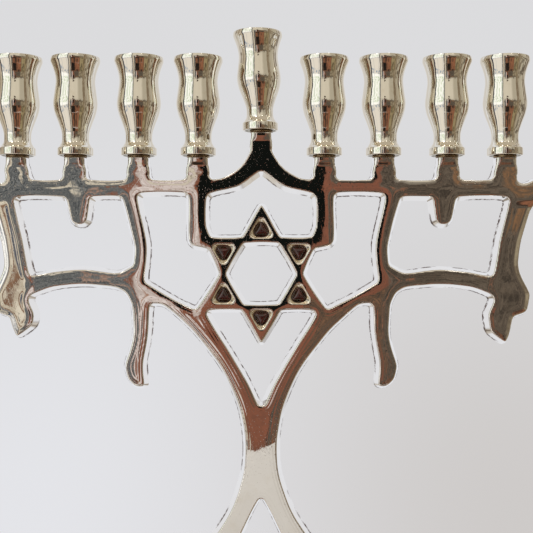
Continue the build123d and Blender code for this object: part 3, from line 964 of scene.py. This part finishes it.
def base_piece(material):
    """The stepped oval base, with its felt recess and the two counterbored screw holes."""
    low, high = box_mm("base")
    _, felt_high = box_mm("felt_pad")
    washer_low, washer_high = box_mm("base_washers")
    half_length, half_width = (high[0] - low[0]) / 2, (high[1] - low[1]) / 2
    bottom, top, recess = low[2], high[2], felt_high[2]
    felt_inset = half_length - felt_high[0]
    profile = rounded_path([
        (felt_inset, recess, 0), (felt_inset, bottom, 0.25), (0.6, bottom, 0.4),
        (0.0, bottom + 0.7, 0.6), (0.0, bottom + 3.6, 1.6), (1.6, bottom + 5.2, 1.4),
        (4.6, bottom + 5.9, 0.6), (5.1, bottom + 6.8, 0.5), (6.0, bottom + 7.6, 0.8),
        (6.2, bottom + 9.4, 1.4), (8.0, top - 0.45, 1.4), (12.0, top, 2.0), (14.0, top, 0),
    ], 7)
    rings = [oval_ring(half_length, half_width, inset, z) for inset, z in profile]
    points = np.concatenate(rings)
    faces = grid_faces(len(rings), OVAL_SEGMENTS)
    all_points = [points]
    count = len(points)
    counterbore_top = washer_high[2]
    screw_x = (washer_high[0] - washer_low[0]) / 2 - (washer_high[1] - washer_low[1]) / 2
    hole_profile = (
        (COUNTERBORE_RADIUS, recess), (COUNTERBORE_RADIUS, counterbore_top),
        (SCREW_CLEARANCE, counterbore_top), (SCREW_CLEARANCE, top),
    )
    bottom_holes, top_holes = [], []
    for x in (-screw_x, screw_x):
        hole_points, hole_faces = lathe(hole_profile, HOLE_SEGMENTS)
        all_points.append(hole_points + (x, 0, 0))
        faces += [tuple(i + count for i in face) for face in hole_faces]
        bottom_holes.append([count + i for i in range(HOLE_SEGMENTS)])
        top_holes.append([count + 3 * HOLE_SEGMENTS + i for i in range(HOLE_SEGMENTS)])
        count += len(hole_points)
    points = np.concatenate(all_points)
    top_ring = list(range((len(rings) - 1) * OVAL_SEGMENTS, len(rings) * OVAL_SEGMENTS))
    for outer, holes, upward in (
        (list(range(OVAL_SEGMENTS)), bottom_holes, False), (top_ring, top_holes, True),
    ):
        loops = [outer] + holes
        flat = [i for loop in loops for i in loop]
        for a, b, c in tessellate_polygon([[Vector(points[i]) for i in loop] for loop in loops]):
            a, b, c = flat[a], flat[b], flat[c]
            normal = np.cross(points[b] - points[a], points[c] - points[a])
            faces.append((a, b, c) if (normal[2] > 0) == upward else (c, b, a))
    new_piece("oval_base", points, faces, "base", "frame", material)


def felt_piece(material):
    """The felt pad, with a slightly ragged, soft edge."""
    low, high = box_mm("felt_pad")
    half_length, half_width = (high[0] - low[0]) / 2, (high[1] - low[1]) / 2
    random = np.random.RandomState(11)
    profile = [(half_width * 0.55, high[2]), (0.5, high[2]), (0.08, high[2] - 0.15),
               (0.0, (low[2] + high[2]) / 2), (0.1, low[2] + 0.2), (0.7, low[2]),
               (half_width * 0.55, low[2])]
    rings = []
    for inset, z in profile:
        ring = oval_ring(half_length, half_width, inset, z)
        if inset < 1:
            ring[:, :2] *= 1 - random.uniform(0, 0.0016, (OVAL_SEGMENTS, 1))
        rings.append(ring)
    faces = grid_faces(len(rings), OVAL_SEGMENTS, flip=True)
    faces.append(tuple(range(OVAL_SEGMENTS)))
    last = (len(rings) - 1) * OVAL_SEGMENTS
    faces.append(tuple(range(last, last + OVAL_SEGMENTS))[::-1])
    new_piece("felt_sole", np.concatenate(rings), faces, "felt_pad", "frame", material)


# ---- surroundings ---------------------------------------------------------------------------

CAMERA_X = 0.00225          # the picture is taken a little right of the middle
CAMERA_DISTANCE = 0.4113    # from the frame's mid-plane
CAMERA_HEIGHT = 0.1621
LENS = 64.85
FLOOR_HALF = 2.0
FLOOR_GAP = 0.00002         # keeps the floor clear of the felt
TABLE_EDGE = -0.45          # seen in the mirror faces only: the table ends here


def backdrop_colour(nodes, direction):
    """Pale grey paper with painted light and shade: brightest at the lower left and a little darker
    at the lower right.
    """
    split = nodes.add("ShaderNodeSeparateXYZ", {"Vector": direction})
    rightness = nodes.between(split.outputs["X"], -0.24, 0.26)
    lowness = nodes.between(split.outputs["Z"], -0.26, 0.22, 1.0, 0.0)
    low = nodes.mix(rightness, (0.775, 0.780, 0.812), (0.615, 0.592, 0.580))
    cloud = nodes.noise(direction, 2.2, 2.0)
    high = nodes.mix(cloud, (0.722, 0.722, 0.735), (0.700, 0.700, 0.716))
    return nodes.mix(lowness, high, low)


# What the polished metal mirrors, in degrees to the right of and above the way to the camera:
# (name, from turn, to turn, from rise, to rise, softness, two colours, size of the mottling).
ROOM = (
    ("table edge and floor", -26, 52, -70, -12.5, 2.0, (0.25, 0.11, 0.07), (0.17, 0.08, 0.05), 8),
    ("armchair", 9, 50, -75, 8.2, 0.7, (0.15, 0.118, 0.088), (0.055, 0.044, 0.034), 70),
    ("cushion", 13, 27, 3.5, 7.6, 0.8, (0.26, 0.14, 0.07), (0.13, 0.09, 0.06), 40),
    ("wicker chair", 30, 52, -75, 5.0, 3.0, (0.36, 0.30, 0.20), (0.16, 0.12, 0.08), 14),
    ("picture", 12, 19, 8.5, 15, 0.5, (0.15, 0.10, 0.07), (0.30, 0.24, 0.17), 18),
    ("door", 54, 66, -70, 34, 1.0, (0.20, 0.15, 0.10), (0.32, 0.26, 0.18), 12),
    ("cream wall", -27, -16.5, -40, 6.5, 0.6, (0.80, 0.73, 0.60), (0.55, 0.48, 0.37), 30),
    ("curtain hem", -22.2, -21.0, -40, 6.5, 0.4, (0.30, 0.17, 0.10), (0.20, 0.12, 0.08), 20),
    ("tweed cloth", -17, -8.5, -40, 8.4, 0.25, (0.045, 0.052, 0.058), (0.25, 0.255, 0.25), 210),
    ("cloth fold", -13.4, -11.9, 3.2, 4.7, 0.3, (0.80, 0.74, 0.62), (0.50, 0.44, 0.34), 60),
    ("cloth seam", -10.2, -9.7, -8, 5.0, 0.2, (0.42, 0.30, 0.24), (0.25, 0.15, 0.11), 60),
    ("chair arm", -8.6, -7.7, -14, 6.0, 0.2, (0.27, 0.12, 0.08), (0.20, 0.09, 0.06), 40),
    ("pink sleeve", -7.8, -4.1, -9.0, 7.0, 0.2, (0.80, 0.71, 0.68), (0.50, 0.42, 0.38), 60),
    ("sleeve crease", -6.4, -6.1, -3.0, 6.2, 0.12, (0.30, 0.16, 0.11), (0.42, 0.25, 0.18), 30),
    ("left wall", -114, -79, -60, 60, 2.0, (0.60, 0.52, 0.41), (0.44, 0.38, 0.29), 9),
    ("hands", -4.2, 6.6, -13, 9.0, 0.25, (0.26, 0.10, 0.060), (0.20, 0.085, 0.055), 34),
    ("hair", -5.0, 7.5, 8.0, 17.0, 1.0, (0.10, 0.065, 0.045), (0.05, 0.038, 0.03), 40),
    ("lap", 2.1, 6.6, -13, -1.4, 0.3, (0.075, 0.058, 0.044), (0.22, 0.12, 0.07), 110),
    ("armchair edge", 6.4, 10, -13, 8.0, 0.4, (0.13, 0.10, 0.075), (0.055, 0.044, 0.034), 120),
    ("armchair braid", 8.1, 8.5, -13, 5.8, 0.15, (0.26, 0.13, 0.08), (0.20, 0.10, 0.065), 60),
    ("chair leg", 0.15, 0.45, -14, -7.6, 0.08, (0.04, 0.036, 0.03), (0.07, 0.06, 0.05), 60),
    ("chair rail", 0.75, 5.0, -14, -7.6, 0.12, (0.05, 0.045, 0.04), (0.16, 0.13, 0.10), 200),
    ("arms below the cups", -13, 34, -40, -10.5, 1.2, (0.28, 0.12, 0.065), (0.05, 0.033, 0.024), 6),
    ("sleeve below the cups", 34, 58, -40, -10.5, 2.0, (0.10, 0.08, 0.05), (0.34, 0.27, 0.15), 6),
    ("camera below the cups", -15, 9, -27, -12.5, 1.2, (0.008, 0.008, 0.01), (0.03, 0.02, 0.014), 8),
    ("table crumbs", -14, -9, -36, -14, 1.0, (0.08, 0.06, 0.05), (0.24, 0.16, 0.11), 40),
)
RAGGED = 60.0               # torn upper borders: degrees of shift for each unit of noise
CAMERA_SHADOW = (-0.25, 3.9, 3.45, 6.6)     # a black shape: middle and half-sizes, degrees
WINDOW = (-76.0, -26.5)     # from turn, to turn
FRAME_LINES = (             # thin upright lines: turn, half-width, colour
    (-27.0, 1.1, (0.05, 0.055, 0.07)), (-33.5, 0.5, (0.30, 0.32, 0.36)),
    (-77.0, 3.2, (0.03, 0.035, 0.06)), (-24.0, 1.0, (0.10, 0.11, 0.14)),
    (-98.0, 1.8, (0.16, 0.11, 0.07)), (53.0, 1.5, (0.20, 0.14, 0.08)),
    (72.0, 1.3, (0.30, 0.23, 0.14)), (103.0, 2.4, (0.11, 0.075, 0.045)),
)
# ceiling lamps: turn, rise, size
LAMPS = ((22.0, 47.0, 3.0), (-12.0, 56.0, 2.5), (60.0, 38.0, 2.2), (-46.0, 52.0, 7.0))


def room_colour(nodes, direction):
    """The room as polished metal sees it, over a champagne wall, with pale paper behind."""
    split = nodes.add("ShaderNodeSeparateXYZ", {"Vector": direction})
    x, y, z = (split.outputs[i] for i in range(3))
    turn = nodes.math("DEGREES", nodes.math("ARCTAN2", x, nodes.times(y, -1.0)))
    rise = nodes.math("DEGREES", nodes.math("ARCSINE", z))
    for size, reach in ((26.0, 1.6), (7.0, 3.0)):
        sway = nodes.minus(nodes.noise(direction, size, 2.0), 0.5)
        lift = nodes.noise(nodes.stretched(direction, (1.0, 1.0, 1.0), (1.0, 0.5, 0.2)), size, 2.0)
        lift = nodes.minus(lift, 0.5)
        turn = nodes.plus(turn, nodes.times(sway, reach))
        rise = nodes.plus(rise, nodes.times(lift, reach))
    colour = nodes.mix(nodes.noise(direction, 3.0, 2.0), (0.76, 0.69, 0.57), (0.60, 0.54, 0.43))
    dull = nodes.times(nodes.band(turn, 24.0, 96.0, 8.0), 0.62)
    colour = nodes.mix(dull, colour, (0.33, 0.29, 0.21))
    clutter = nodes.between(nodes.noise(direction, 5.5, 5.0, 0.72), 0.49, 0.55)
    low_down = nodes.between(rise, 6.0, 17.0, 1.0, 0.0)
    clutter = nodes.times(nodes.times(clutter, low_down), 0.85)
    colour = nodes.mix(clutter, colour, (0.085, 0.060, 0.042))
    dark_shelf = nodes.times(nodes.band(turn, -3.0, 5.0, 1.0),
                             nodes.band(rise, 19.0, 21.5, 0.8))
    colour = nodes.mix(dark_shelf, colour, (0.04, 0.032, 0.025))
    above = nodes.between(rise, 40.0, 62.0)
    colour = nodes.mix(above, colour, (0.50, 0.43, 0.33))
    below = nodes.between(rise, -66.0, -40.0, 1.0, 0.0)
    colour = nodes.mix(below, colour, (0.74, 0.70, 0.64))
    tear = nodes.minus(nodes.noise(direction, 6.0, 4.0, 0.65), 0.5)
    tear = nodes.times(tear, nodes.between(rise, 6.5, 10.0, 0.0, RAGGED))
    torn_rise = nodes.plus(rise, tear)
    for _, turn_a, turn_b, rise_a, rise_b, soft, tint, other, size in ROOM:
        inside = nodes.times(nodes.band(turn, turn_a, turn_b, soft),
                             nodes.band(torn_rise, rise_a, rise_b, soft))
        mottle = nodes.between(nodes.noise(direction, size, 3.0, 0.65), 0.38, 0.64)
        colour = nodes.mix(inside, colour, nodes.mix(mottle, tint, other))
    centre_turn, centre_rise, half_turn, half_rise = CAMERA_SHADOW
    across = nodes.math("DIVIDE", nodes.minus(turn, centre_turn), half_turn)
    upward = nodes.math("DIVIDE", nodes.minus(rise, centre_rise), half_rise)
    round_out = nodes.plus(nodes.math("POWER", nodes.math("ABSOLUTE", across), 3.0),
                           nodes.math("POWER", nodes.math("ABSOLUTE", upward), 3.0))
    colour = nodes.mix(nodes.between(round_out, 0.85, 1.12, 1.0, 0.0), colour,
                       (0.006, 0.007, 0.006))
    garden = nodes.between(nodes.noise(direction, 11.0, 3.0), 0.45, 0.6)
    garden = nodes.times(garden, nodes.band(rise, 3.0, 30.0, 4.0))
    panes = nodes.mix(garden, (1.15, 1.15, 1.12), (0.66, 0.76, 0.56))
    panes = nodes.mix(nodes.between(rise, -8.0, -3.0, 1.0, 0.0), panes, (0.84, 0.78, 0.70))
    things = nodes.between(nodes.noise(direction, 9.0, 3.0), 0.46, 0.54)
    things = nodes.times(things, nodes.band(rise, -17.0, -6.0, 1.5))
    panes = nodes.mix(things, panes, (0.36, 0.42, 0.50))
    bar = nodes.times(nodes.band(turn, -60.5, -58.0, 0.6), 0.5)
    panes = nodes.mix(bar, panes, (0.40, 0.44, 0.50))
    tall = nodes.band(rise, -58.0, 46.0, 3.0)
    colour = nodes.mix(nodes.times(nodes.band(turn, *WINDOW, 0.8), tall), colour, panes)
    for centre, half, tint in FRAME_LINES:
        line = nodes.band(turn, centre - half, centre + half, 0.6)
        colour = nodes.mix(nodes.times(line, tall), colour, tint)
    aside = nodes.math("ABSOLUTE", turn)
    beside = nodes.between(aside, 104.0, 112.0)
    streak = nodes.between(nodes.noise(direction, 4.0, 4.0, 0.6), 0.42, 0.60)
    curtain = nodes.mix(streak, (0.62, 0.58, 0.52), (0.26, 0.22, 0.18))
    colour = nodes.mix(beside, colour, curtain)
    behind = nodes.between(aside, 124.0, 131.0)
    colour = nodes.mix(behind, colour, (0.84, 0.86, 0.91))
    # a dim, cluttered far side of the room, low down, that only the back of the piece mirrors
    far_side = nodes.times(nodes.band(aside, 122.0, 160.0, 5.0),
                           nodes.between(rise, -19.0, -12.0, 1.0, 0.0))
    furniture = nodes.between(nodes.noise(direction, 7.0, 4.0, 0.6), 0.42, 0.56)
    far_room = nodes.mix(furniture, (0.66, 0.62, 0.56), (0.24, 0.20, 0.165))
    colour = nodes.mix(far_side, colour, far_room)
    for lamp_turn, lamp_rise, size in LAMPS:
        away = nodes.plus(nodes.math("POWER", nodes.minus(turn, lamp_turn), 2.0),
                          nodes.math("POWER", nodes.minus(rise, lamp_rise), 2.0))
        glow = nodes.between(away, size * size * 0.5, size * size, 1.0, 0.0)
        colour = nodes.mix(glow, colour, (7.0, 6.7, 6.2))
    return colour


def make_world():
    world = bpy.data.worlds.new("studio")
    bpy.context.scene.world = world
    world.use_nodes = True
    nodes = Nodes(world.node_tree)
    direction = nodes.add("ShaderNodeTexCoord").outputs["Generated"]
    path = nodes.add("ShaderNodeLightPath")
    soft = nodes.add("ShaderNodeBackground", {"Color": (1.0, 0.985, 0.96, 1.0), "Strength": 0.85})
    room = nodes.add("ShaderNodeBackground", {"Color": room_colour(nodes, direction)})
    paper = nodes.add("ShaderNodeBackground", {"Color": backdrop_colour(nodes, direction)})
    seen = nodes.mix_shader(path.outputs["Is Glossy Ray"], soft.outputs[0], room.outputs[0])
    seen = nodes.mix_shader(path.outputs["Is Camera Ray"], seen, paper.outputs[0])
    nodes.add("ShaderNodeOutputWorld", {"Surface": seen})


def floor_material():
    """Pale table top near the object that melts into the backdrop further away."""
    material, nodes, place = new_material("pale_table")
    path = nodes.add("ShaderNodeLightPath")
    mirrored = path.outputs["Is Glossy Ray"]
    viewed = path.outputs["Is Camera Ray"]
    split = nodes.add("ShaderNodeSeparateXYZ", {"Vector": place})
    x, y = split.outputs["X"], split.outputs["Y"]
    away = nodes.math("SQRT", nodes.plus(nodes.times(x, x), nodes.times(y, y)))
    speck = nodes.between(nodes.noise(place, 420.0, 4.0, 0.7), 0.56, 0.74)
    cloud = nodes.noise(place, 24.0, 3.0)
    colour = nodes.mix(cloud, (0.78, 0.77, 0.755), (0.70, 0.685, 0.66))
    colour = nodes.mix(nodes.times(speck, 0.35), colour, (0.50, 0.43, 0.36))
    # painted shade: the floor darkens towards the right in the metal's mirror image, and both the
    # mirror image and the camera's view of it are darker than the floor that lights the scene
    shaded = nodes.times(nodes.between(x, 0.015, 0.10), mirrored)
    colour = nodes.mix(nodes.times(shaded, 0.6), colour, (0.30, 0.27, 0.235))
    dimmed = nodes.plus(nodes.times(mirrored, 0.34), nodes.times(viewed, 0.30))
    colour = nodes.mix(dimmed, colour, (0.0, 0.0, 0.0))
    surface = nodes.add("ShaderNodeBsdfPrincipled", {"Base Color": colour, "Roughness": 0.55})
    clear = nodes.add("ShaderNodeBsdfTransparent")
    faded = nodes.times(nodes.between(away, 0.06, 0.19), viewed)
    steep = nodes.add("ShaderNodeNewGeometry").outputs["Incoming"]
    steep = nodes.add("ShaderNodeSeparateXYZ", {"Vector": steep}).outputs["Z"]
    beyond = nodes.math("MAXIMUM", nodes.math("LESS_THAN", y, TABLE_EDGE),
                        nodes.between(steep, 0.40, 0.50))
    sideways = nodes.math("MAXIMUM", nodes.math("ABSOLUTE", x), nodes.times(y, 4.0))
    beyond = nodes.math("MAXIMUM", beyond, nodes.between(sideways, 0.13, 0.16))
    beyond = nodes.times(beyond, mirrored)
    hidden = nodes.math("MAXIMUM", faded, beyond)
    mixed = nodes.mix_shader(hidden, surface.outputs[0], clear.outputs[0])
    nodes.add("ShaderNodeOutputMaterial", {"Surface": mixed})
    return material


def make_floor():
    corners = [(x * FLOOR_HALF, y * FLOOR_HALF, 0) for x, y in ((-1, -1), (1, -1), (1, 1), (-1, 1))]
    mesh = bpy.data.meshes.new("floor")
    mesh.from_pydata(corners, [], [(0, 1, 2, 3)])
    floor = bpy.data.objects.new("floor", mesh)
    bpy.context.scene.collection.objects.link(floor)
    mesh.materials.append(floor_material())
    floor.location.z = -FLOOR_GAP


def make_light(name, place, target, size, power, colour):
    data = bpy.data.lights.new(name, "AREA")
    data.size = size
    data.energy = power
    data.color = colour
    light = bpy.data.objects.new(name, data)
    bpy.context.scene.collection.objects.link(light)
    light.location = place
    light.rotation_euler = (Vector(target) - Vector(place)).to_track_quat("-Z", "Y").to_euler()
    light.visible_glossy = False
    light.visible_camera = False


def make_camera():
    data = bpy.data.cameras.new("camera")
    data.lens = LENS
    data.sensor_width = 36.0
    data.clip_start = 0.01
    camera = bpy.data.objects.new("camera", data)
    bpy.context.scene.collection.objects.link(camera)
    camera.location = (CAMERA_X, -CAMERA_DISTANCE, CAMERA_HEIGHT)
    camera.rotation_euler = (math.radians(90), 0, 0)
    bpy.context.scene.camera = camera


# ---- build ------------------------------------------------------------------------------------

plate = silver_plate()
cup_metal = cup_silver()
brass = washer_brass()
stone_material = garnet()
steel = zinc_steel("screw_steel", (0.62, 0.63, 0.66))

shape = Casting()
casting_piece(shape, plate)
for stone_name in STONES:
    stone(stone_name, shape, stone_material)
for cup_name in NAMES:
    candle_cup(cup_name, cup_metal)
    cup_washer(cup_name, brass)
cup_studs(zinc_steel("stud_steel", (0.66, 0.66, 0.67)))
base_piece(plate)
felt_piece(felt())
for kept in ("base_screws", "base_washers"):
    node_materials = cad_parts[kept].data.materials
    node_materials.clear()
    node_materials.append(steel)

bpy.context.scene.view_settings.view_transform = "Standard"
make_world()
make_floor()
make_light("key", (-0.6, -0.7, 0.9), (0, 0, 0.1), 0.7, 9.0, (1.0, 0.98, 0.95))
make_light("fill", (0.8, -0.4, 0.6), (0, 0, 0.1), 0.9, 4.0, (1.0, 0.97, 0.93))
make_camera()
